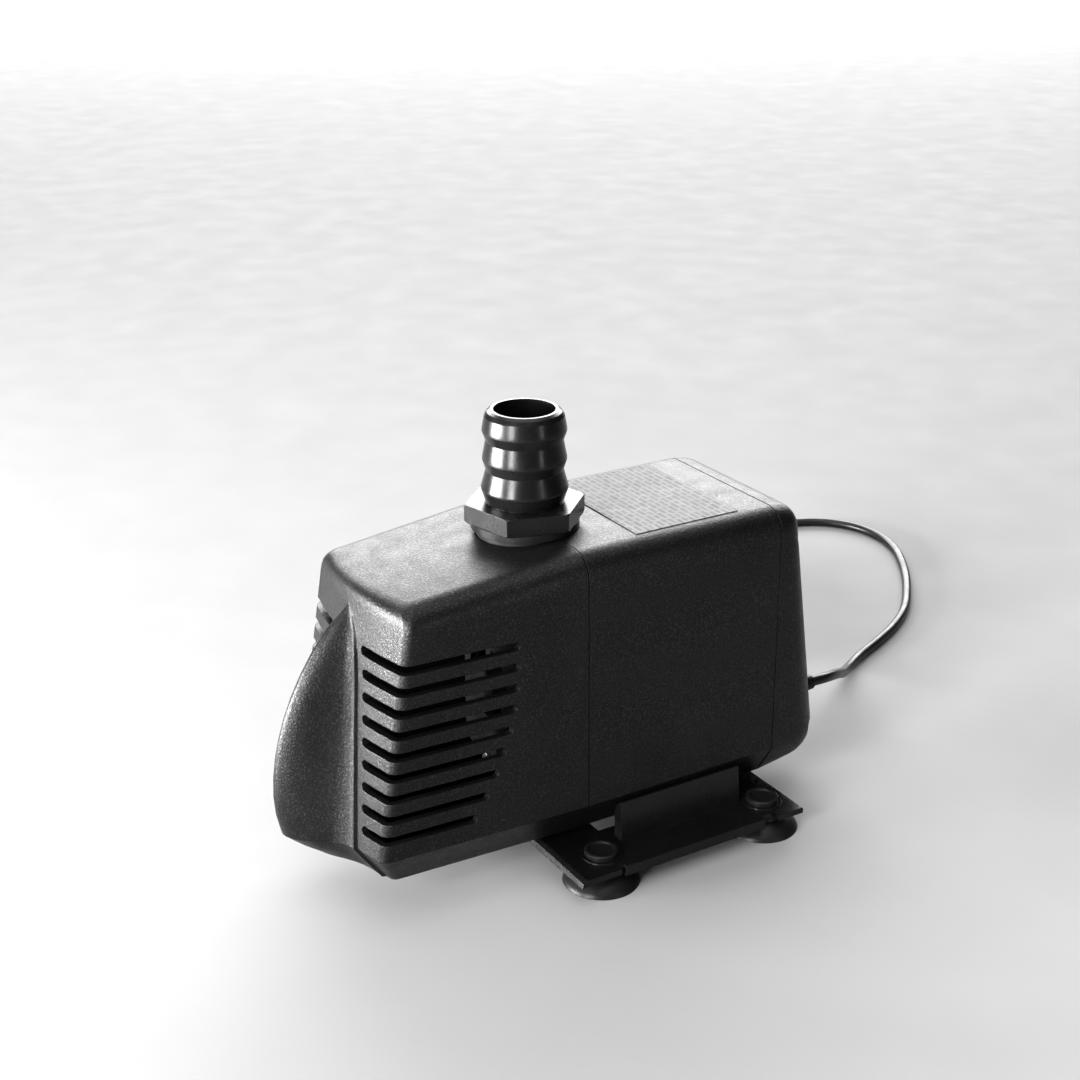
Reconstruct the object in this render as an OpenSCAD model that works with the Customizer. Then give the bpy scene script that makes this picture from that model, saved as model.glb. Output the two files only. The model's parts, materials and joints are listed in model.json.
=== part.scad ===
// Fountain submersible pump: wet-rotor motor block, slotted intake cover, hose barb and cup-footed base.
// X runs from the nose to the cord, Z up, and the cups stand on Z = 0.

/* [Body] */
// Width of the body at its lower edge
body_w = 72.2; // [71:0.2:73]
// Height of the body's top face above the ground
body_top = 113.5; // [113:0.5:115]
// Height of the body's underside above the ground
body_bottom = 14; // [13.6:0.1:14.2]
// Length of the motor housing between its two seams
housing_len = 75; // [74:0.5:77]
// Wall thickness of the plastic shells
wall = 2.4; // [2:0.1:2.6]

/* [Intake cover] */
// Length of the cover's sloping top, from the seam to the front face
cover_len = 61; // [60:0.5:62]
// How far the nose stands out from the front face
nose_depth = 20; // [14:0.5:21]
// Number of intake slots on each side
slot_count = 9; // [5:1:9]
// Height of one slot
slot_h = 3; // [1.8:0.1:3]
// Distance from one slot to the next
slot_pitch = 7; // [6.6:0.1:7]

/* [Outlet] */
// Diameter over the ridges of the hose barb
barb_d = 27; // [26:0.5:28]
// Diameter of the barb's bore
bore_d = 19.6; // [18:0.2:20]
// Distance across the corners of the hexagon
hex_d = 39.8; // [38:0.2:41]

/* [Wet end] */
// Height of the rotor's axis
axis_z = 60; // [59:0.5:61]
// Diameter of the impeller
impeller_d = 42; // [38:0.5:44]
// Number of impeller blades
blade_count = 6; // [4:1:8]
// Diameter of the ceramic shaft
shaft_d = 5; // [4:0.5:5]
// Diameter of the magnet
magnet_d = 24; // [22:0.5:24]

/* [Base] */
// Width of the base plate over its tabs
plate_w = 103.4; // [100:0.2:106]
// Height of the base plate's top face
plate_top = 9.5; // [9.4:0.1:9.6]
// Diameter of a suction cup
cup_d = 25.8; // [24:0.2:27]

/* [Cord] */
// Diameter of the power cord
cord_d = 4; // [3.6:0.1:4.2]
// Diameter of the stored coil at the middle of its turns
coil_d = 44; // [42:1:46]

/* [Hidden] */

$fn = 64;
gap = 0.3;                     // clearance between parts of different bodies
run = 0.05;                    // radial clearance of a running fit
seam_gap = 0.15;               // half the gap at the front seam

// Body outline
edge_r = 8;                    // fillet along the top edges
chamfer_h = 12;                // height of the lower chamfer
chamfer_in = 7.5;              // width of the lower chamfer
chamfer_front = 9;             // and its width across the front
draft = 0.02;                  // inward lean of the sides going up
taper = 0.045;                 // inward taper of the sides towards the front
top_slope = 0.1;               // fall of the cover's top towards the front
front_lean = 0.16;             // forward lean of the front face going down
front_fillet = 4;
corner_r = 4;
face_crown = 3.5;
nose_top = 100;
nose_mid = 50;
nose_low_w = 18.5;             // half width of the nose low down
nose_lip = 1.2;                // how far the rim of the nose stands proud
cap_back_low = 100;            // rear face of the cap near the ground
cap_back_high = 87;            // and near the top

// Outlet
outlet_x = -2.7;
thread_r = 13;
neck_r = 16;
flange_r = 17.6;
flange_h = 2.4;
hex_h = 6;
seat_z = body_top + gap;       // underside of the outlet gasket
hex_z = seat_z + flange_h;
barb_z = hex_z + hex_h;
ridge_pitch = 9.7;
thread_len = 9;
thread_pitch = 2;

// Wet end
chamber_r = 30;
chamber_front = -14;
chamber_back = 12;
can_r = magnet_d / 2 + 1;
can_back = 62;
bulkhead = 14;
stator_x = 26;
stator_len = 20;

// Base
plate_t = 2.2;
plate_x = [-12.4, 77.9];
cup_x = [2.1, 68.4];
cup_y = 40.6;
boss_r = 5.7;
rail_x = [6, 72];
guide_x = [12.2, 60.9];
lip_x = [4.6, 61.5];

// Cord
gland_z = 24;
cord_r = cord_d / 2;
floor_z = cord_r + 0.1;
relief_len = 22;
coil_at = [150, 128];
coil_w = 16;
coil_h = 12;
cord_start = cap_back_low + relief_len;
cord_route = [[cord_start - 3, 0, gland_z], [cord_start, 0, gland_z], [cord_start + 8, 1, 23.2],
    [140, 6, 20], [150, 14.5, 14.2], [160, 24, 7.8], [171, 33, 3.6], [184, 41, 2.2],
    [200, 48, floor_z], [216, 56, floor_z], [232, 67, floor_z], [246, 81, floor_z],
    [258, 95, floor_z], [268, 109, floor_z], [276, 123, floor_z], [280, 138, floor_z],
    [278, 154, floor_z], [269, 167, floor_z], [254, 175, floor_z], [236, 177, floor_z],
    [216, 173, floor_z], [196, 166.5, floor_z], [178, 160, floor_z], [164, 157, floor_z],
    [150, 156, floor_z]];

function clamp01(t) = max(0, min(1, t));
function half_w(z) = body_w / 2 - draft * max(0, z - body_bottom - chamfer_h);
function side_inset(z, w) =
    let(low = body_bottom + w + chamfer_h, r = edge_r - w, high = body_top - w - r)
    z < low ? chamfer_in * (low - z) / chamfer_h :
    z > high ? r - sqrt(max(0, r * r - (z - high) * (z - high))) : 0;
function front_inset(z, w) =
    let(low = body_bottom + w + chamfer_h, r = front_fillet, high = body_top - w - r)
    z < low ? chamfer_front * (low - z) / chamfer_h :
    z > high ? r - sqrt(max(0, r * r - (z - high) * (z - high))) : 0;
function levels(w, steps) =
    let(low = body_bottom + w, r = edge_r - w, high = body_top - w - r)
    concat([for (t = [0, 0.3, 0.65]) low + chamfer_h * t],
        [for (k = [0 : steps]) low + chamfer_h + (high - low - chamfer_h) * k / steps],
        [for (a = [15 : 15 : 90]) high + r * sin(a)]);
function half_outline(w, steps) = [for (z = levels(w, steps)) [half_w(z) - w - side_inset(z, w), z]];
function mirrored(pts) = [for (i = [len(pts) - 1 : -1 : 0]) [-pts[i][0], pts[i][1]]];
function outline(w, steps) = concat(half_outline(w, steps), mirrored(half_outline(w, steps)));

// The nose: its depth and half width at a height, and its section from the crest out to the rim
function nose_d(z) =
    z > nose_mid ? nose_depth * pow(clamp01(1 - pow((z - nose_mid) / (nose_top - nose_mid), 2)), 0.8) :
    nose_depth * pow(clamp01(1 - pow((nose_mid - z) / (nose_mid - body_bottom + 0.3), 2)), 0.5);
function nose_half(z) =
    (nose_low_w - 0.176 * (z - 32.5)) * sqrt(clamp01(1 - pow(max(0, z - 80) / (nose_top - 80), 2)));
function nose_section(t) = pow(cos(90 * clamp01(t)), 1.8);
function rim(z, t, w) = w > 0 ? 0 : nose_lip * pow(clamp01((t - 0.6) / 0.4), 2) * clamp01((nose_top - z) / 12);

// One level of the cover: the side, the corner, the front with its nose, and back along the other side
function fall(z) = top_slope * clamp01((z - 26) / (body_top - 26));
function front_half(z, w, xf) = half_w(z) - w - side_inset(z, w) + taper * xf;
function level_pts(z, w, x_rear) =
    let(zf = z - fall(z) * cover_len,
        xf = -cover_len - front_lean * (body_top - top_slope * cover_len - zf) + w + front_inset(z, w),
        hf = front_half(z, w, xf),
        r = max(1.2, corner_r - w - 0.2 * side_inset(z, w)),
        ye = hf - r,
        nh = min(max(1, nose_half(zf) - w), ye - 1.5),
        ys = concat([for (k = [1 : 3]) ye + (nh + 0.5 - ye) * k / 3],
            [for (k = [0 : 20]) nh * (1 - k / 10)],
            [for (k = [3 : -1 : 1]) -(ye + (nh + 0.5 - ye) * k / 3)]),
        near = [for (a = [90 : 15 : 180]) [xf + r + r * cos(a), ye + r * sin(a)]],
        face = [for (y = ys) let(t = abs(y) / nh) [xf - face_crown * (1 - pow(y / ye, 2))
            - (t > 1.001 ? 0 : nose_d(zf) * nose_section(t) + rim(zf, t, w)), y]],
        far = [for (i = [len(near) - 1 : -1 : 0]) [near[i][0], -near[i][1]]],
        flat = concat([[x_rear, half_w(z) - w - side_inset(z, w)]], near, face, far,
            [[x_rear, -(half_w(z) - w - side_inset(z, w))]]))
    [for (p = flat) [p[0], p[1], z - fall(z) * min(max(0, -p[0]), cover_len)]];

// Triangles across a ring that mirrors about its middle point
function across_ring(n, base, flip) = [for (i = [0 : (n - 3) / 2])
    for (t = i + 1 == n - 2 - i ? [[i, i + 1, n - 1 - i]] : [[i, i + 1, n - 1 - i], [i + 1, n - 2 - i, n - 1 - i]])
        flip ? [base + t[2], base + t[1], base + t[0]] : [base + t[0], base + t[1], base + t[2]]];

module cover_solid(w, x_rear, steps) {
    zs = levels(w, steps);
    rings = [for (z = zs) level_pts(z, w, x_rear)];
    n = len(rings[0]);
    m = len(rings);
    polyhedron(
        points = [for (ring = rings) each ring],
        faces = concat(
            across_ring(n, 0, false),
            across_ring(n, (m - 1) * n, true),
            [for (j = [0 : m - 2]) for (i = [0 : n - 1]) let(k = (i + 1) % n)
                each [[j * n + i, (j + 1) * n + k, j * n + k], [j * n + i, (j + 1) * n + i, (j + 1) * n + k]]]));
}

nose_x = min([for (z = levels(0, 11)) min([for (p = level_pts(z, 0, 0)) p[0]])]);
x_mid = (nose_x + cap_back_low) / 2;

// Places a part in the row's frame, centred on the object's footprint
module placed() {
    translate([-x_mid, 0, 0]) children();
}

function span(middle, half) = [middle - half, middle + half];

module x_cyl(r, x0, x1, y = 0, z = axis_z) {
    translate([x0, y, z]) rotate([0, 90, 0]) cylinder(r = r, h = x1 - x0);
}

module block(x, y, z) {
    translate([x[0], y[0], z[0]]) cube([x[1] - x[0], y[1] - y[0], z[1] - z[0]]);
}

module prism_x(x0, x1, pts) {
    translate([x0, 0, 0]) rotate([90, 0, 90]) linear_extrude(x1 - x0) polygon(pts);
}

// Intake cover
function slot_z(i) = 89.2 - slot_pitch * i;
function slot_end(i) = -25.8 - 0.33 * pow(max(0, i - 1), 2);
function slot_inner(i) = nose_half(slot_z(i)) + 2.7;

module slot(i, side) {
    y0 = slot_inner(i) + slot_h / 2;
    scale([1, side, 1]) {
        block([-86, slot_end(i)], [y0, 45], [slot_z(i) - slot_h / 2, slot_z(i) + slot_h / 2]);
        translate([slot_end(i), 45, slot_z(i)]) rotate([90, 0, 0]) cylinder(r = slot_h / 2, h = 18, $fn = 16);
        translate([-86, y0, slot_z(i)]) rotate([0, 90, 0]) cylinder(r = slot_h / 2, h = 24, $fn = 16);
    }
}

module intake_cover() {
    color("dimgray") placed() difference() {
        cover_solid(0, -seam_gap, 11);
        difference() {
            cover_solid(wall, 1, 7);
            block([-110, -26], [-0.8, 0.8], [0, 120]);
        }
        for (i = [0 : slot_count - 1]) {
            slot(i, 1);
            slot(i, -1);
        }
        translate([outlet_x, 0, 90]) cylinder(r = neck_r + 0.4, h = 30);
    }
}

// Motor housing
screw_at = [[-29.5, 27], [29.5, 27], [-28, 101], [28, 101]];

module motor_housing() {
    color("dimgray") placed() difference() {
        union() {
            difference() {
                prism_x(seam_gap, housing_len, outline(0, 11));
                prism_x(-1, housing_len + 1, outline(wall, 7));
            }
            difference() {
                union() {
                    prism_x(-2.5, 4, outline(wall + gap + 0.2, 7));
                    prism_x(seam_gap, 4, outline(wall - 0.05, 7));
                }
                prism_x(-5, 5, outline(wall + gap + 1.8, 7));
            }
            difference() {
                union() {
                    prism_x(housing_len - 3, housing_len + 1.5, outline(wall + 0.5, 7));
                    prism_x(housing_len - 3, housing_len - 0.2, outline(wall - 0.05, 7));
                }
                prism_x(housing_len - 4, housing_len + 3, outline(wall + 1.8, 7));
                for (p = screw_at) x_cyl(5.5, housing_len - 0.3, housing_len + 3, p[0], p[1]);
            }
            prism_x(bulkhead, bulkhead + 3, outline(wall - 0.01, 7));
            for (p = screw_at) x_cyl(5, 58, housing_len, p[0], p[1]);
            block(rail_x, [-6, 6], [body_bottom - 2.4, body_bottom + 0.5]);
            block(rail_x, [-10, 10], [body_bottom - 4.2, body_bottom - 2.2]);
        }
        x_cyl(can_r + 1.4, bulkhead - 1, bulkhead + 4);
        for (p = screw_at) x_cyl(1.6, 57, housing_len + 1, p[0], p[1]);
        translate([outlet_x, 0, 96]) cylinder(r = neck_r + 0.4, h = 30);
    }
}

// Rear cap
module cap_solid(w, x0) {
    intersection() {
        hull() {
            prism_x(housing_len - 12, housing_len + 0.5, outline(w, 7));
            for (s = [-1, 1]) {
                translate([cap_back_low - 14, s * (body_w / 2 - 14.6), body_bottom + 14])
                    sphere(r = 14 - w, $fn = 32);
                translate([cap_back_high - 9, s * 25, body_top - 9.2]) sphere(r = 9 - w, $fn = 32);
            }
        }
        block([x0, 120], [-60, 60], [0, 130]);
    }
}

module rear_cap() {
    color("dimgray") placed() difference() {
        cap_solid(0, housing_len + 2 * seam_gap);
        difference() {
            cap_solid(wall, housing_len - 1);
            for (p = screw_at) x_cyl(5, housing_len - 2, 110, p[0], p[1]);
        }
        for (p = screw_at) {
            x_cyl(1.8, housing_len - 2, 110, p[0], p[1]);
            x_cyl(3.6, housing_len + 4, 110, p[0], p[1]);
        }
        x_cyl(4.5, housing_len - 2, 110, 0, gland_z);
    }
}

module cap_screw(k) {
    p = screw_at[k];
    color("lightgray") placed() difference() {
        union() {
            x_cyl(1.6, 60, housing_len + 4, p[0], p[1]);
            x_cyl(3.2, housing_len + 4, housing_len + 6.4, p[0], p[1]);
        }
        block([housing_len + 5.2, 90], [p[0] - 0.4, p[0] + 0.4], [p[1] - 2, p[1] + 2]);
        block([housing_len + 5.2, 90], [p[0] - 2, p[0] + 2], [p[1] - 0.4, p[1] + 0.4]);
    }
}

// Outlet: barb profile from the bore's foot, up the outside and over the rim
barb_r = barb_d / 2;
rim_z = barb_z + 30.2;
function ridge(z, r) = [[r, z - 0.6], [r, z], [barb_r - 1.1, z + 5.7]];
barb_profile = concat([[bore_d / 2, body_top - thread_len], [thread_r, body_top - thread_len],
    [thread_r, barb_z], [barb_r - 0.9, barb_z]],
    ridge(barb_z + 4.8, barb_r + 0.5), ridge(barb_z + 4.8 + ridge_pitch, barb_r),
    [[barb_r, barb_z + 3.9 + 2 * ridge_pitch], [barb_r, barb_z + 4.6 + 2 * ridge_pitch],
    [barb_r - 0.8, rim_z - 2], [barb_r - 1.6, rim_z - 0.7], [barb_r - 2.7, rim_z], [bore_d / 2, rim_z]]);

module hose_barb() {
    color("black") placed() translate([outlet_x, 0, 0]) {
        rotate_extrude() polygon(barb_profile);
        difference() {
            intersection() {
                translate([0, 0, hex_z]) rotate([0, 0, -16.6]) cylinder(d = hex_d, h = hex_h, $fn = 6);
                rotate_extrude() polygon([[0, hex_z], [hex_d / 2 - 0.7, hex_z], [hex_d / 2, hex_z + 0.5],
                    [hex_d / 2, barb_z - 0.5], [hex_d / 2 - 0.7, barb_z], [0, barb_z]]);
            }
            translate([0, 0, hex_z - 1]) cylinder(r = thread_r - 1, h = hex_h + 2);
        }
    }
}

module outlet_gasket() {
    color("black") placed() translate([outlet_x, 0, seat_z]) difference() {
        cylinder(r = flange_r, h = flange_h - 0.02);
        translate([0, 0, -1]) cylinder(r = thread_r + run, h = flange_h + 2);
    }
}

module rating_label() {
    color("silver") placed() translate([23, -26, body_top]) cube([40, 52, 0.3]);
}

// Base plate and cups
module base_plate() {
    color("black") placed() difference() {
        union() {
            translate([0, plate_w / 2, 0]) rotate([90, 0, 0]) linear_extrude(plate_w)
                polygon([[plate_x[0], plate_top - plate_t - 0.4], [plate_x[0] + 4, plate_top - plate_t],
                    [plate_x[1], plate_top - plate_t], [plate_x[1], plate_top - 0.5],
                    [plate_x[1] - 0.5, plate_top], [plate_x[0] + 2, plate_top],
                    [plate_x[0] + 0.7, plate_top - 0.9]]);
            for (s = [-1, 1]) scale([1, s, 1]) {
                block(lip_x, [plate_w / 2 - 1.8, plate_w / 2], [plate_top - 3.2, plate_top + 0.4]);
                prism_x(guide_x[0], guide_x[1], [[33, plate_top - 0.5], [37.8, plate_top - 0.5],
                    [36.2, body_bottom + 9.3], [35.1, body_bottom + 9.3], [33, body_bottom + 6]]);
                block(guide_x, [10.4, 14], [plate_top - 0.5, body_bottom - gap]);
                block(guide_x, [6.4, 12], [body_bottom - 1.9, body_bottom - gap]);
            }
            for (x = cup_x) for (s = [-1, 1])
                translate([x, s * cup_y, plate_top - plate_t]) cylinder(r = boss_r + 1.2, h = plate_t + 0.4);
        }
        for (x = cup_x) for (s = [-1, 1])
            translate([x, s * cup_y, 0]) cylinder(r = 4.05, h = 20);
        for (s = [-1, 1]) scale([1, s, 1]) {
            for (x = [18, 47]) block([x - 9, x + 9], [18, 28], [0, 20]);
            block([lip_x[0] - 1.6, lip_x[0]], [plate_w / 2 - 1.4, 60], [0, 20]);
            block([lip_x[1], lip_x[1] + 6], [plate_w / 2 - 2.6, 60], [0, 20]);
        }
    }
}

module suction_cup(k) {
    r = cup_d / 2;
    z0 = plate_top - plate_t;
    color("black") placed()
        translate([cup_x[k % 2], (k < 2 ? -1 : 1) * cup_y, 0])
            rotate_extrude() polygon([[0, 2.4], [5, 2.2], [9, 1.4], [r - 0.7, 0], [r, 0], [r - 0.4, 1],
                [10.6, 3], [7.4, 5], [6.4, z0], [4, z0], [4, plate_top + 0.4], [boss_r, plate_top + 0.4],
                [boss_r, plate_top + 1.8], [boss_r - 0.5, plate_top + 2.2], [boss_r - 1.4, plate_top + 2.2],
                [boss_r - 1.9, plate_top + 1.6], [0, plate_top + 1.6]]);
}

// Wet end
module pump_chamber() {
    color("gray") placed() difference() {
        union() {
            x_cyl(chamber_r, chamber_front, chamber_back);
            translate([outlet_x, 0, axis_z]) cylinder(r = 11, h = 36);
            translate([outlet_x, 0, axis_z + chamber_r + 0.2]) cylinder(r1 = 11, r2 = neck_r, h = 96 - axis_z - chamber_r);
            translate([outlet_x, 0, 96]) cylinder(r = neck_r, h = seat_z - 0.02 - 96);
        }
        x_cyl(chamber_r - 4, chamber_front - 1, chamber_back - 3);
        x_cyl(can_r, chamber_back - 4, chamber_back + 1);
        translate([outlet_x, 0, axis_z]) cylinder(r = 9.4, h = 60);
        translate([outlet_x, 0, body_top - thread_len - 1]) cylinder(r = thread_r + run, h = 20);
        for (a = [90 : 120 : 330])
            x_cyl(1.2, chamber_front - 1, chamber_front + 8, 28 * cos(a + 60), axis_z + 28 * sin(a + 60));
    }
}

module chamber_cover() {
    color("gray") placed() difference() {
        union() {
            difference() {
                x_cyl(chamber_r, chamber_front - 3, chamber_front);
                x_cyl(13, chamber_front - 4, chamber_front + 1);
            }
            x_cyl(7.5, chamber_front - 6, chamber_front);
            for (a = [0 : 120 : 240]) translate([chamber_front - 3, 0, axis_z]) rotate([a, 0, 0])
                translate([0, -1.5, 6]) cube([3, 3, 8]);
        }
        x_cyl(5, chamber_front - 5, chamber_front + 1);
        for (a = [90 : 120 : 330])
            x_cyl(1.5, chamber_front - 4, chamber_front + 1, 28 * cos(a + 60), axis_z + 28 * sin(a + 60));
    }
}

module chamber_seal() {
    color("black") placed() translate([bulkhead - 1, 0, axis_z]) rotate([0, 90, 0])
        rotate_extrude() translate([24, 0]) circle(r = 1, $fn = 24);
}

module chamber_screw(k) {
    y = 28 * cos(150 + 120 * k);
    z = axis_z + 28 * sin(150 + 120 * k);
    color("lightgray") placed() difference() {
        union() {
            x_cyl(1.2, chamber_front - 3, chamber_front + 7, y, z);
            x_cyl(2, chamber_front - 4.6, chamber_front - 3, y, z);
        }
        block([-25, chamber_front - 4], [y - 1.5, y + 1.5], [z - 0.3, z + 0.3]);
    }
}

module impeller() {
    blade_r = impeller_d / 2;
    color("white") placed() difference() {
        union() {
            x_cyl(7, -9, 13);
            x_cyl(blade_r, 2, 4.5);
            for (k = [0 : blade_count - 1]) translate([-9, 0, axis_z]) rotate([360 * k / blade_count, 0, 0])
                translate([0, -1, 4]) cube([12, 2, blade_r - 4.3]);
        }
        x_cyl(shaft_d / 2 + run, -10, 20);
    }
}

module rotor_magnet() {
    color("darkslategray") placed() difference() {
        x_cyl(magnet_d / 2, 13, 53);
        x_cyl(shaft_d / 2 + run, 12, 54);
    }
}

module impeller_shaft() {
    color("white") placed() x_cyl(shaft_d / 2, chamber_front - 3.5, can_back - 2.5);
}

module front_bush() {
    color("black") placed() difference() {
        x_cyl(5, chamber_front - 5, chamber_front + 1.5);
        x_cyl(shaft_d / 2, chamber_front - 3.5, chamber_front + 3);
    }
}

module rear_bush() {
    color("black") placed() difference() {
        x_cyl(6, can_back - 6.5, can_back - 1.5);
        x_cyl(shaft_d / 2, can_back - 8, can_back - 2.5);
    }
}

module rotor_can() {
    color("dimgray") placed() difference() {
        union() {
            x_cyl(can_r + 1.3, chamber_back, can_back);
            x_cyl(21, chamber_back, bulkhead);
        }
        x_cyl(can_r, chamber_back - 1, can_back - 6.5);
        x_cyl(6, can_back - 7, can_back - 1.5);
    }
}

// Dry end
module stator_core() {
    color("darkgray") placed() difference() {
        block([stator_x, stator_x + stator_len], [-28, 28], span(axis_z, 36));
        for (s = [-1, 1]) block([0, 90], [-18, 18], span(axis_z + 18 * s, 8));
        x_cyl(can_r + 1.6, 0, 90);
        block([0, 90], [-5, 5], span(axis_z, 20));
    }
}

module bobbin(z) {
    color("ivory") placed() difference() {
        union() {
            block([stator_x - 1.5, stator_x + stator_len + 1.5], [-16, 16], span(z, 6.5));
            for (y = [-16, 14.5])
                block([stator_x - 6, stator_x + stator_len + 6], [y, y + 1.5], span(z, 10.4));
        }
        block([stator_x, stator_x + stator_len], [-20, 20], span(z, 5));
    }
}

module winding(z) {
    color("chocolate") placed() difference() {
        block([stator_x - 5, stator_x + stator_len + 5], [-14.5, 14.5], span(z, 9.6));
        block([stator_x - 1.5, stator_x + stator_len + 1.5], [-20, 20], span(z, 6.5));
    }
}

module bobbin_upper() {
    bobbin(axis_z + 31);
}

module bobbin_lower() {
    bobbin(axis_z - 31);
}

module winding_upper() {
    winding(axis_z + 31);
}

module winding_lower() {
    winding(axis_z - 31);
}

module potting_layer() {
    color("black") placed() difference() {
        prism_x(can_back + 2, can_back + 8, [[-22, 18], [22, 18], [22, 33], [32.2, 33], [32.2, 94], [20, 94], [20, 109],
            [-20, 109], [-20, 94], [-32.2, 94], [-32.2, 33], [-22, 33]]);
        for (y = [-3, 3]) x_cyl(1.1, 60, 80, y, gland_z);
    }
}

module thermal_fuse() {
    color("lightgray") placed() x_cyl(2, stator_x + stator_len + 5, stator_x + stator_len + 13, 0, axis_z + 36);
}

module lead_wires() {
    color("tan") placed() for (y = [-3, 3]) x_cyl(0.9, stator_x + stator_len + 6.5, 90, y, gland_z);
}

// Cord
module cord_gland() {
    color("black") placed() difference() {
        union() {
            x_cyl(4.5, 88, cap_back_low, 0, gland_z);
            x_cyl(6, 88, 91, 0, gland_z);
        }
        for (y = [-3, 3]) x_cyl(1.1, 80, 90.5, y, gland_z);
    }
}

module strain_relief() {
    color("black") placed() translate([cap_back_low, 0, gland_z]) rotate([0, 90, 0]) difference() {
        cylinder(r1 = 4.4, r2 = cord_r + 0.8, h = relief_len);
        translate([0, 0, relief_len - 3]) cylinder(r = cord_r, h = 4);
    }
}

function spline(p0, p1, p2, p3, t) = 0.5 * (2 * p1 + (p2 - p0) * t + (2 * p0 - 5 * p1 + 4 * p2 - p3) * t * t
    + (3 * p1 - p0 - 3 * p2 + p3) * t * t * t);
function smooth(p) = concat([for (i = [0 : len(p) - 2]) for (t = [0, 0.5])
    spline(p[max(0, i - 1)], p[i], p[i + 1], p[min(len(p) - 1, i + 2)], t)], [p[len(p) - 1]]);
function unit(v) = v / norm(v);
function across(d) = unit([-d[1], d[0], 0]);

module tube(path, r, sides) {
    n = len(path);
    dirs = [for (i = [0 : n - 1]) unit(path[min(n - 1, i + 1)] - path[max(0, i - 1)])];
    pts = [for (i = [0 : n - 1]) for (k = [0 : sides - 1]) let(a = 360 * (k + 0.5) / sides, s = across(dirs[i]))
        path[i] + r * cos(a) * s + r * sin(a) * cross(dirs[i], s)];
    polyhedron(points = pts, faces = concat(
        [[for (k = [0 : sides - 1]) k]],
        [[for (k = [sides - 1 : -1 : 0]) (n - 1) * sides + k]],
        [for (i = [0 : n - 2]) for (k = [0 : sides - 1]) let(m = (k + 1) % sides)
            each [[i * sides + k, (i + 1) * sides + k, (i + 1) * sides + m],
                [i * sides + k, (i + 1) * sides + m, i * sides + m]]]));
}

module power_cord() {
    color("black") placed() tube(smooth(cord_route), cord_r, 8);
}

module cord_coil() {
    color("black") placed() translate([coil_at[0], coil_at[1], 0.1]) rotate_extrude()
        translate([coil_d / 2, coil_h / 2]) square([coil_w, coil_h], center = true);
}

module cord_tie() {
    color("black") placed() translate([coil_at[0] + coil_d / 2, coil_at[1], coil_h / 2 + 0.1]) difference() {
        cube([coil_w + 2, 6, coil_h + 0.18], center = true);
        cube([coil_w, 7, coil_h], center = true);
    }
}

// The plug lies beside the coil, pointing along -Y, where the last turn runs into it
module at_plug() {
    translate([coil_at[0] - (coil_d + coil_w) / 2 + cord_r, coil_at[1] - 14, 10]) rotate([90, 0, 0]) children();
}

module plug_body() {
    color("black") placed() at_plug() {
        cylinder(r1 = 3, r2 = 5, h = 16);
        translate([-10, -9, 16]) cube([20, 18, 22]);
    }
}

module plug_pins() {
    color("gold") placed() at_plug() {
        for (x = [-6.4, 6.4]) block([x - 0.75, x + 0.75], [-5.2, 1], [38, 55]);
        translate([0, 4.6, 38]) cylinder(r = 2.4, h = 19);
    }
}

intake_cover();
motor_housing();
rear_cap();
cap_screw(0);  // cap_screw_1
cap_screw(1);  // cap_screw_2
cap_screw(2);  // cap_screw_3
cap_screw(3);  // cap_screw_4
hose_barb();
outlet_gasket();
rating_label();
base_plate();
suction_cup(0);  // suction_cup_1
suction_cup(1);  // suction_cup_2
suction_cup(2);  // suction_cup_3
suction_cup(3);  // suction_cup_4
pump_chamber();
chamber_cover();
chamber_seal();
chamber_screw(0);  // chamber_screw_1
chamber_screw(1);  // chamber_screw_2
chamber_screw(2);  // chamber_screw_3
impeller();
rotor_magnet();
impeller_shaft();
front_bush();
rear_bush();
rotor_can();
stator_core();
bobbin_upper();
bobbin_lower();
winding_upper();
winding_lower();
potting_layer();
thermal_fuse();
lead_wires();
cord_gland();
strain_relief();
power_cord();
cord_coil();
cord_tie();
plug_body();
plug_pins();
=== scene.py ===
import json
import math

import bpy
from mathutils import Matrix, Vector


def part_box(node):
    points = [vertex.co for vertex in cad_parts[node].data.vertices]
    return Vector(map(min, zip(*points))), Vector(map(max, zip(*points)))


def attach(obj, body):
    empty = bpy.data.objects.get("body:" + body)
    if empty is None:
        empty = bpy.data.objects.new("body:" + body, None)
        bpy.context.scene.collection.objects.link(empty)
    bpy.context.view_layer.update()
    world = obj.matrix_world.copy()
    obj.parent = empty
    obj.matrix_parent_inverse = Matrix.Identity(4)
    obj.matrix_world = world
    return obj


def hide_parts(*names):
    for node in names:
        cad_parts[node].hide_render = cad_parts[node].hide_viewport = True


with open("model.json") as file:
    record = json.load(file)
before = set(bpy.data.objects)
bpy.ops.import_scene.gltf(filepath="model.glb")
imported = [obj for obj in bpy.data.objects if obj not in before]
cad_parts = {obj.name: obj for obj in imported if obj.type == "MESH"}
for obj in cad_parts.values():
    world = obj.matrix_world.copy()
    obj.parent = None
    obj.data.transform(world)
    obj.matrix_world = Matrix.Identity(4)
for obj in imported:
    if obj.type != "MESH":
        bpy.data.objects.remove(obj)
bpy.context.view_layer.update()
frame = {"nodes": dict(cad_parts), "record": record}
NODES = frame["nodes"]
MM = 0.001

# The pump's own frame has X = 0 at the front seam, as in the part's source, and the cord leaves at CORD_EXIT_X
CORD_EXIT_X = 100
X_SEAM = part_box("cord_gland")[1][0] - CORD_EXIT_X * MM


def at(x, y, z):
    """A point of the pump's own frame, in millimetres, as a point of the row."""
    return Vector((X_SEAM + x * MM, y * MM, z * MM))


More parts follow.
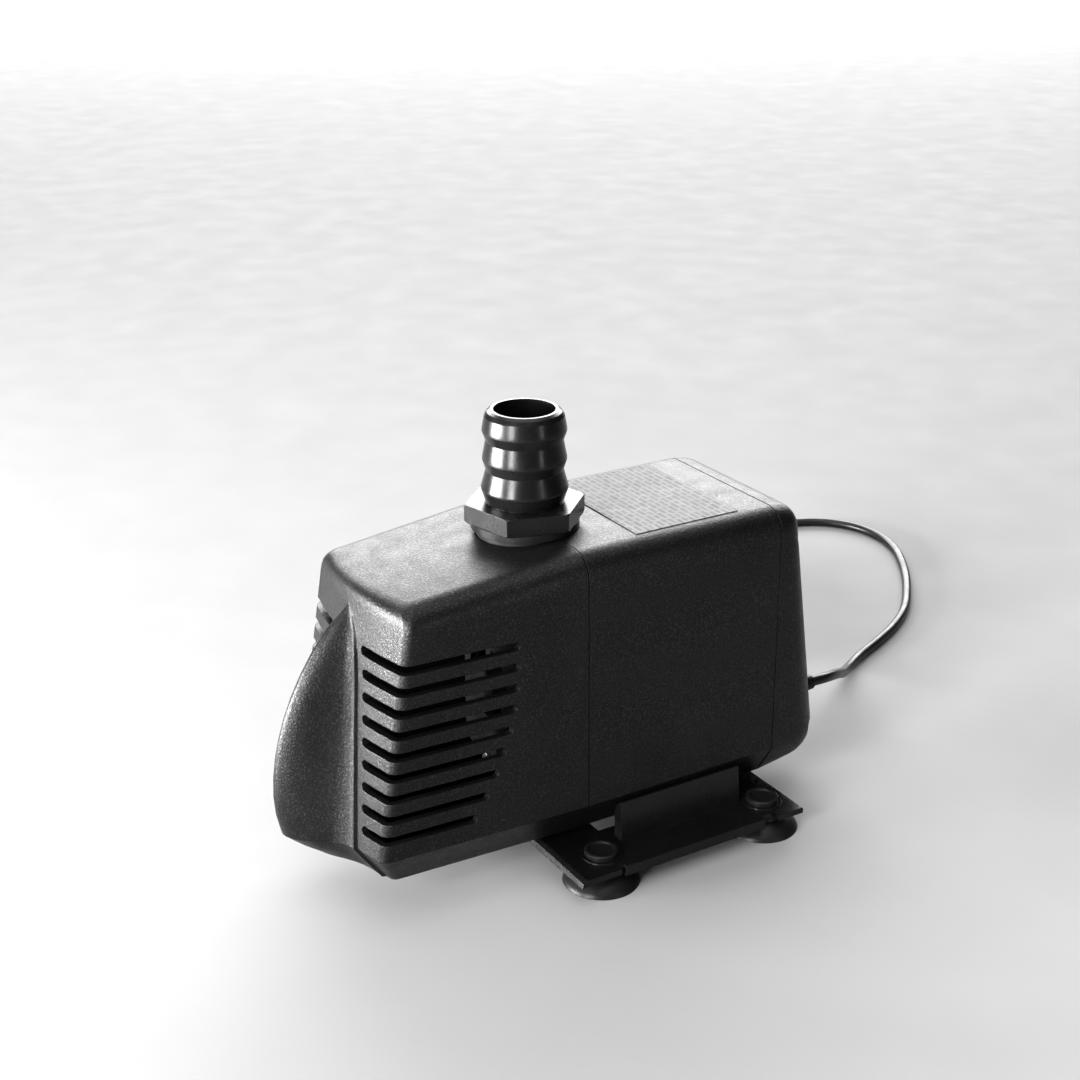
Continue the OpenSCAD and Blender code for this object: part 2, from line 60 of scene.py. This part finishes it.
# ---- Camera ---------------------------------------------------------------------------------
CAMERA_AT = (-260.4, -438.9, 315.4)
CAMERA_TURN = -31.1            # degrees off straight ahead of the near side
CAMERA_TILT = 24.2             # degrees that it looks down
LENS = 56.67
SENSOR = 36
SHIFT = (-0.0034, 0.0557)


def make_camera():
    turn, tilt = math.radians(CAMERA_TURN), math.radians(CAMERA_TILT)
    back = Vector((math.sin(turn) * math.cos(tilt), -math.cos(turn) * math.cos(tilt), math.sin(tilt)))
    right = Vector((math.cos(turn), math.sin(turn), 0))
    up = back.cross(right)
    data = bpy.data.cameras.new("camera")
    data.lens = LENS
    data.sensor_width = SENSOR
    data.shift_x, data.shift_y = SHIFT
    camera = bpy.data.objects.new("camera", data)
    bpy.context.scene.collection.objects.link(camera)
    place = at(*CAMERA_AT)
    camera.matrix_world = Matrix((
        (right.x, up.x, back.x, place.x),
        (right.y, up.y, back.y, place.y),
        (right.z, up.z, back.z, place.z),
        (0, 0, 0, 1)))
    bpy.context.scene.camera = camera


make_camera()


# ---- Cord -----------------------------------------------------------------------------------
CORD_D = 4
FLOOR_Z = CORD_D / 2 + 0.1              # height of a cord that lies on the floor
GLAND_Z = 24
ROUTE = [(CORD_EXIT_X, 0, GLAND_Z), (108, 0, GLAND_Z), (119, 0, GLAND_Z), (122, 0, GLAND_Z), (130, 1, 23.2),
         (140, 6, 20), (150, 14.5, 14.2), (160, 24, 7.8), (171, 33, 3.6), (184, 41, 2.2),
         (200, 48, FLOOR_Z), (216, 56, FLOOR_Z), (232, 67, FLOOR_Z), (246, 81, FLOOR_Z),
         (258, 95, FLOOR_Z), (268, 109, FLOOR_Z), (276, 123, FLOOR_Z), (280, 138, FLOOR_Z),
         (278, 154, FLOOR_Z), (269, 167, FLOOR_Z), (254, 175, FLOOR_Z), (236, 177, FLOOR_Z),
         (216, 173, FLOOR_Z), (196, 166.5, FLOOR_Z), (178, 160, FLOOR_Z), (164, 157, FLOOR_Z),
         (150, 156, FLOOR_Z)]
COIL_AT = (150, 128)
COLUMNS = (28.2, 24.2, 20.2, 16.2)      # radii of the turns, outermost first
COIL_TURNS = [(c, 0) for c in COLUMNS] + [(c, 1) for c in COLUMNS[::-1]] + [(COLUMNS[0], 2)] * 2
PLUG_Z = 10
PLUG_NECK = (COIL_AT[0] - COLUMNS[0], COIL_AT[1] - 14, PLUG_Z)
STEPS_PER_TURN = 40
STAY = 0.66                             # share of a turn before it eases over to the next


def smooth(points, steps):
    """A Catmull-Rom line through the points."""
    out = []
    for i in range(len(points) - 1):
        p0, p1, p2, p3 = (Vector(points[min(max(i + k, 0), len(points) - 1)]) for k in (-1, 0, 1, 2))
        for s in range(steps):
            t = s / steps
            out.append(0.5 * (2 * p1 + (p2 - p0) * t + (2 * p0 - 5 * p1 + 4 * p2 - p3) * t * t
                              + (3 * p1 - p0 - 3 * p2 + p3) * t * t * t))
    out.append(Vector(points[-1]))
    return out


def coil_points():
    """Turns laid inwards on the floor, outwards on top of those, and a last one on the outside.

    A turn keeps its radius and height for two thirds of the way and then eases over to the next one.
    The cord comes in at the far side of the coil and leaves at its left side, a quarter turn on.
    """
    def on_coil(r, degrees, z):
        turn = math.radians(degrees)
        return Vector((COIL_AT[0] + r * math.cos(turn), COIL_AT[1] + r * math.sin(turn), z))

    out = []
    for k in range(len(COIL_TURNS) - 1):
        (r0, level0), (r1, level1) = COIL_TURNS[k], COIL_TURNS[k + 1]
        for i in range(STEPS_PER_TURN):
            share = i / STEPS_PER_TURN
            ease = min(max((share - STAY) / (1 - STAY), 0), 1)
            ease = ease * ease * (3 - 2 * ease)
            out.append(on_coil(r0 + (r1 - r0) * ease, 90 + 360 * share,
                               FLOOR_Z + CORD_D * (level0 + (level1 - level0) * ease)))
    out += [on_coil(COLUMNS[0], 90 + 9 * i, FLOOR_Z + 2 * CORD_D) for i in range(11)]
    return out


def make_cord():
    """The whole cord as one tube, from inside the relief to inside the plug's neck."""
    points = smooth(ROUTE, 4)[:-1] + coil_points()
    points += [Vector(PLUG_NECK) + Vector((0, step, 0)) for step in (7, 0, -5)]
    curve = bpy.data.curves.new("power_cord_run", "CURVE")
    curve.dimensions = "3D"
    curve.bevel_depth = CORD_D / 2 * MM
    curve.bevel_resolution = 5
    curve.use_fill_caps = True
    spline = curve.splines.new("POLY")
    spline.points.add(len(points) - 1)
    for point, p in zip(spline.points, points):
        point.co = (*at(*p), 1)
    cord = bpy.data.objects.new("power_cord_run", curve)
    bpy.context.scene.collection.objects.link(cord)
    length = sum((b - a).length for a, b in zip(points, points[1:])) * MM
    return cord, length


# ---- Materials ------------------------------------------------------------------------------
def new_material(name):
    material = bpy.data.materials.new(name)
    material.use_nodes = True
    tree = material.node_tree
    tree.nodes.clear()
    shader = tree.nodes.new("ShaderNodeBsdfPrincipled")
    output = tree.nodes.new("ShaderNodeOutputMaterial")
    tree.links.new(shader.outputs[0], output.inputs[0])
    return material, tree, shader


def object_coords(tree):
    coords = tree.nodes.get("coords") or tree.nodes.new("ShaderNodeTexCoord")
    coords.name = "coords"
    return coords.outputs["Object"]


def noise(tree, scale, detail, rough=0.5):
    node = tree.nodes.new("ShaderNodeTexNoise")
    node.inputs["Scale"].default_value = scale
    node.inputs["Detail"].default_value = detail
    node.inputs["Roughness"].default_value = rough
    tree.links.new(object_coords(tree), node.inputs["Vector"])
    return node.outputs[0]


def ramp(tree, source, low, high, a, b):
    """source from low to high as a value or colour from a to b."""
    node = tree.nodes.new("ShaderNodeMapRange")
    node.inputs["From Min"].default_value = low
    node.inputs["From Max"].default_value = high
    node.inputs["To Min"].default_value = a
    node.inputs["To Max"].default_value = b
    tree.links.new(source, node.inputs["Value"])
    return node.outputs[0]


def mixed(tree, factor, a, b):
    node = tree.nodes.new("ShaderNodeMix")
    node.data_type = "RGBA"
    node.inputs["A"].default_value = (*a, 1)
    node.inputs["B"].default_value = (*b, 1)
    tree.links.new(factor, node.inputs["Factor"])
    return node.outputs["Result"]


def moulded(name, colour, light, rough, grain=0, bump=0.0, edge=0.0, metal=0.0, specular=0.5, sparkle=0.0):
    """A moulded or finished surface: cloudy colour, worn roughness, grain in mm, and rounded edges.

    Sparkle makes the shine of the grain uneven, as a spark-eroded mould does.
    """
    material, tree, shader = new_material(name)
    cloud = noise(tree, 45, 4)
    colours = mixed(tree, ramp(tree, cloud, 0.35, 0.65, 0, 1), colour, light)
    tree.links.new(colours, shader.inputs["Base Color"])
    tree.links.new(ramp(tree, noise(tree, 160, 3), 0.3, 0.7, rough[0], rough[1]), shader.inputs["Roughness"])
    shader.inputs["Metallic"].default_value = metal
    shader.inputs["Specular IOR Level"].default_value = specular
    if sparkle:
        specks = noise(tree, 1 / (0.8 * grain * MM), 2, 0.7)
        tree.links.new(ramp(tree, specks, 0.5, 0.72, specular, min(1, specular + sparkle)),
                       shader.inputs["Specular IOR Level"])
    normal = None
    if edge:
        bevel = tree.nodes.new("ShaderNodeBevel")
        bevel.samples = 4
        bevel.inputs["Radius"].default_value = edge * MM
        normal = bevel.outputs[0]
    if grain:
        node = tree.nodes.new("ShaderNodeBump")
        node.inputs["Strength"].default_value = bump
        node.inputs["Distance"].default_value = 0.2 * MM
        tree.links.new(noise(tree, 1 / (grain * MM), 3, 0.6), node.inputs["Height"])
        if normal:
            tree.links.new(normal, node.inputs["Normal"])
        normal = node.outputs[0]
    if normal:
        tree.links.new(normal, shader.inputs["Normal"])
    return material


def label_material():
    """Printed foil: rows of dark dashes with lighter lines between them. It holds no writing."""
    material, tree, shader = new_material("label_foil")
    brick = tree.nodes.new("ShaderNodeTexBrick")
    brick.offset = 0.37
    brick.squash = 0.7
    brick.squash_frequency = 3
    for socket, grey in (("Color1", 0.11), ("Color2", 0.085), ("Mortar", 0.16)):
        brick.inputs[socket].default_value = (grey, grey, grey, 1)
    brick.inputs["Scale"].default_value = 1
    brick.inputs["Mortar Size"].default_value = 0.6 * MM
    brick.inputs["Mortar Smooth"].default_value = 0.3
    brick.inputs["Brick Width"].default_value = 5.5 * MM
    brick.inputs["Row Height"].default_value = 2.2 * MM
    turn = tree.nodes.new("ShaderNodeMapping")
    turn.inputs["Rotation"].default_value = (0, 0, math.pi / 2)
    tree.links.new(object_coords(tree), turn.inputs["Vector"])
    tree.links.new(turn.outputs[0], brick.inputs["Vector"])
    tree.links.new(brick.outputs["Color"], shader.inputs["Base Color"])
    shader.inputs["Specular IOR Level"].default_value = 0.08
    tree.links.new(ramp(tree, noise(tree, 300, 3), 0.3, 0.7, 0.42, 0.55), shader.inputs["Roughness"])
    return material


MATERIALS = {
    "body_plastic": moulded("body_plastic", (0.005, 0.005, 0.005), (0.007, 0.007, 0.007), (0.34, 0.44),
                            grain=0.7, bump=0.6, edge=0.5, specular=0.18, sparkle=0.4),
    "gloss_plastic": moulded("gloss_plastic", (0.005, 0.005, 0.005), (0.008, 0.008, 0.008), (0.22, 0.3),
                             grain=0.8, bump=0.12, edge=0.3, specular=0.26),
    "rubber_black": moulded("rubber_black", (0.007, 0.007, 0.007), (0.011, 0.011, 0.011), (0.34, 0.46),
                            grain=0.8, bump=0.1, edge=0.3, specular=0.2),
    "steel": moulded("steel", (0.5, 0.5, 0.5), (0.62, 0.62, 0.62), (0.25, 0.38), metal=1.0, edge=0.2),
    "label_foil": label_material(),
    "inner_plastic": moulded("inner_plastic", (0.009, 0.009, 0.01), (0.014, 0.014, 0.015), (0.42, 0.52),
                             grain=0.6, bump=0.2, edge=0.3, specular=0.15),
    "impeller_plastic": moulded("impeller_plastic", (0.68, 0.68, 0.64), (0.76, 0.76, 0.72), (0.35, 0.45),
                                edge=0.3),
    "magnet": moulded("magnet", (0.03, 0.03, 0.033), (0.05, 0.05, 0.055), (0.4, 0.55), grain=0.3, bump=0.3,
                      edge=0.3),
    "ceramic_white": moulded("ceramic_white", (0.8, 0.79, 0.74), (0.86, 0.85, 0.8), (0.12, 0.2), edge=0.2),
    "core_steel": moulded("core_steel", (0.28, 0.29, 0.31), (0.36, 0.37, 0.39), (0.4, 0.5), metal=0.9,
                          edge=0.3),
    "copper_wire": moulded("copper_wire", (0.36, 0.14, 0.05), (0.5, 0.22, 0.09), (0.25, 0.4), metal=0.6,
                           grain=0.4, bump=0.6),
    "potting_resin": moulded("potting_resin", (0.014, 0.014, 0.014), (0.022, 0.022, 0.022), (0.1, 0.25),
                             grain=6, bump=0.2),
    "cord_jacket": moulded("cord_jacket", (0.007, 0.007, 0.007), (0.011, 0.011, 0.011), (0.3, 0.42),
                           grain=1.2, bump=0.1, specular=0.35),
    "pin_brass": moulded("pin_brass", (0.6, 0.43, 0.17), (0.72, 0.55, 0.25), (0.2, 0.32), metal=1.0,
                         edge=0.2),
}
SLOT_OF = {s["node"]: s["material_slot"] for s in frame["record"]["subparts"]}


def dress(obj, slot):
    obj.data.materials.clear()
    obj.data.materials.append(MATERIALS[slot])


def shade(obj, angle):
    """Smooth shading that stays crisp over edges sharper than the angle."""
    for polygon in obj.data.polygons:
        polygon.use_smooth = True
    weld = obj.modifiers.new("weld", "WELD")
    weld.merge_threshold = 0.002 * MM
    split = obj.modifiers.new("edges", "EDGE_SPLIT")
    split.split_angle = math.radians(angle)


CRISP_ABOVE = 32               # degrees
CRISP_ABOVE_BARB = 11          # its ridges have flatter edges
for node_name, node in NODES.items():
    dress(node, SLOT_OF[node_name])
    shade(node, CRISP_ABOVE_BARB if node_name == "hose_barb" else CRISP_ABOVE)

cord, cord_length = make_cord()
dress(cord, "cord_jacket")
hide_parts("power_cord", "cord_coil")
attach(cord, "pump_body")


# ---- Stage and light ------------------------------------------------------------------------
FLOOR_HALF = 9                 # metres
AIM = (0, 0, 70)               # where every light looks


def make_stage():
    mesh = bpy.data.meshes.new("floor")
    corners = [(x * FLOOR_HALF, y * FLOOR_HALF, 0) for x, y in ((-1, -1), (1, -1), (1, 1), (-1, 1))]
    mesh.from_pydata(corners, [], [(0, 1, 2, 3)])
    floor = bpy.data.objects.new("floor", mesh)
    bpy.context.scene.collection.objects.link(floor)
    material, tree, shader = new_material("floor")
    tree.links.new(mixed(tree, ramp(tree, noise(tree, 9, 8, 0.65), 0.35, 0.65, 0, 1),
                         (0.262, 0.262, 0.262), (0.272, 0.272, 0.272)), shader.inputs["Base Color"])
    tree.links.new(ramp(tree, noise(tree, 30, 3), 0.3, 0.7, 0.8, 0.92), shader.inputs["Roughness"])
    shader.inputs["Specular IOR Level"].default_value = 0.2
    mesh.materials.append(material)


def softbox(name, direction, distance, size, power):
    data = bpy.data.lights.new(name, "AREA")
    data.shape = "RECTANGLE"
    data.size, data.size_y = size
    data.energy = power
    light = bpy.data.objects.new(name, data)
    bpy.context.scene.collection.objects.link(light)
    target = at(*AIM)
    place = target + Vector(direction).normalized() * distance
    light.location = place
    light.rotation_euler = (target - place).to_track_quat("-Z", "Y").to_euler()


make_stage()
softbox("back_box", (0.42, 0.8, 0.46), 5, (6.6, 3), 620)
softbox("top_box", (-0.1, -0.1, 1), 2.2, (2.4, 2.4), 45)
softbox("left_strip", (-0.914, -0.405, 0.2), 1.1, (0.22, 0.8), 25)
softbox("right_strip", (0.281, -0.959, 0.2), 1.3, (0.1, 0.8), 2.6)
softbox("nose_box", (-0.9, 0.34, 0.02), 0.9, (0.5, 0.34), 50)

world = bpy.data.worlds.new("world")
bpy.context.scene.world = world
world.use_nodes = True
background = world.node_tree.nodes["Background"]
background.inputs["Color"].default_value = (1, 1, 1, 1)
background.inputs["Strength"].default_value = 0.06
bpy.context.scene.view_settings.view_transform = "Standard"
bpy.context.scene.view_settings.look = "Medium High Contrast"
